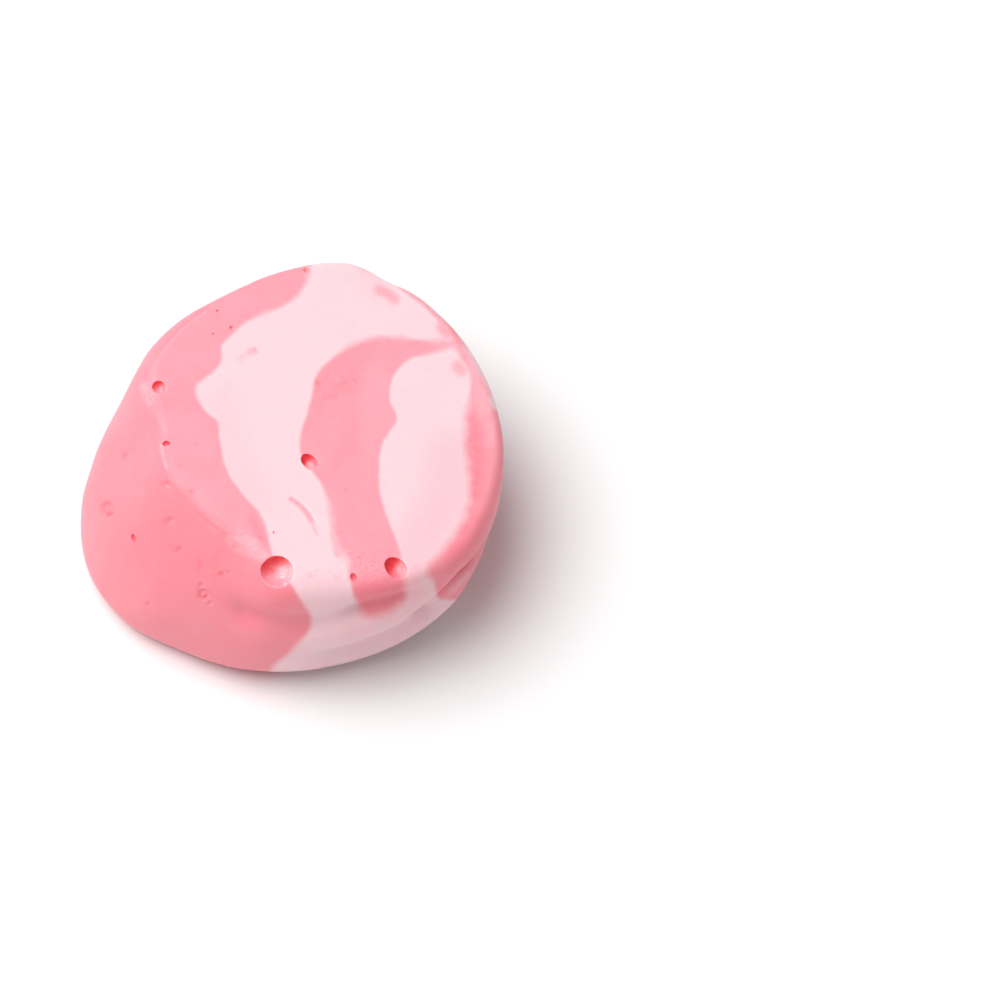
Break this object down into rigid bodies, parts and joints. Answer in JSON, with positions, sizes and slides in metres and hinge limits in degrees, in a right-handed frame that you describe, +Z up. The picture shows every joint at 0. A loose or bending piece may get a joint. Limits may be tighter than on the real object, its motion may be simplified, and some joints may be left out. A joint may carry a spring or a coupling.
{
  "type": "piece of salt water taffy",
  "caption": "Soft slumped puck of pulled taffy in pink and white swirls, lying on a cut end, with small round air-bubble pits in its sloping upper face.",
  "frame": {"origin": "middle of the piece's outline, on the surface it rests on", "axes": "+Z up, from the base to the cut face; +X along the longest extent, towards the low side of the sloping face"},
  "size_m": [0.03, 0.0288, 0.0142],
  "materials": {
    "taffy": "soft satin pulled sugar, pink and near-white layers folded together with blurred edges, slightly translucent"
  },
  "bodies": {
    "root": {"taffy": "taffy"}
  },
  "joints": []
}
